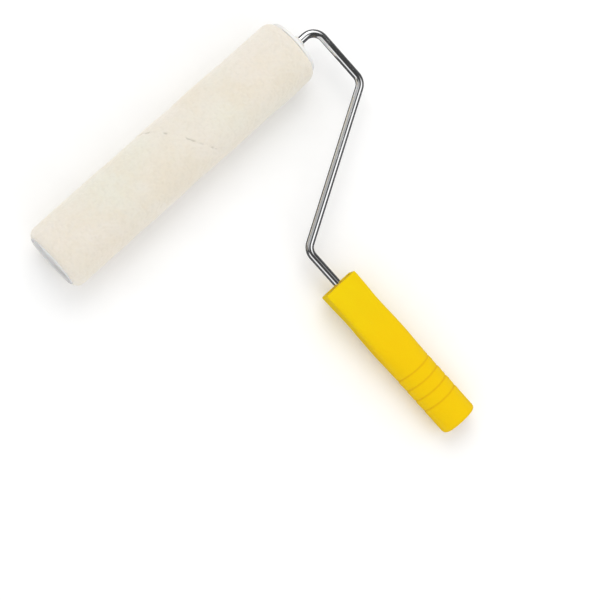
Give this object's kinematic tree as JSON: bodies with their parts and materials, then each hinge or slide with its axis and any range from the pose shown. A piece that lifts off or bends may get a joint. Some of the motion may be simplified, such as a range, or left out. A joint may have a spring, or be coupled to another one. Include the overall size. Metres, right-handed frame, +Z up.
{
  "type": "paint roller",
  "caption": "Paint roller: nap cover on a wire cage that spins on a bent chrome rod, with a moulded grip that takes an extension pole.",
  "frame": {"origin": "centre of the pole socket's mouth, at the grip's tail, on the grip's axis", "axes": "+Y runs up the grip towards the roller, +X along the roller's axis towards the side where the rod leaves the cover, +Z is up from the plane that the rod is bent in"},
  "size_m": [0.2555, 0.3047, 0.0524],
  "materials": {
    "grip_plastic": "satin moulded polypropylene, warm yellow",
    "rod_chrome": "bright chrome plating on steel rod",
    "cage_steel": "zinc plated spring steel and stamped steel",
    "cap_plastic": "semi-matt white moulded polypropylene",
    "bearing_nylon": "natural nylon",
    "tube_plastic": "extruded white polypropylene tube",
    "nap_fabric": "cream plush pile, fine and dense"
  },
  "bodies": {
    "frame": {"handle_shell": "grip_plastic", "neck_plug": "grip_plastic", "tail_socket": "grip_plastic", "frame_rod": "rod_chrome", "thrust_collar": "cage_steel", "thrust_washers": "cage_steel", "push_nut": "cage_steel"},
    "cage": {"arm_cap": "cap_plastic", "arm_bearing": "bearing_nylon", "free_cap": "cap_plastic", "free_bearing": "bearing_nylon", "cage_wire_1": "cage_steel", "cage_wire_2": "cage_steel", "cage_wire_3": "cage_steel", "cage_wire_4": "cage_steel", "cage_wire_5": "cage_steel", "centre_spider": "cap_plastic", "dust_cap": "cap_plastic"},
    "cover": {"core_tube": "tube_plastic", "nap_cover": "nap_fabric"}
  },
  "joints": [
    {"name": "cage_spin", "type": "hinge", "parent": "frame", "child": "cage", "pos_m": [-0.0261, 0.2785, 0], "axis": [1, 0, 0], "continuous": true},
    {"name": "cover_slide", "type": "slide", "parent": "cage", "child": "cover", "axis": [-1, 0, 0], "range_m": [0, 0.235]}
  ]
}
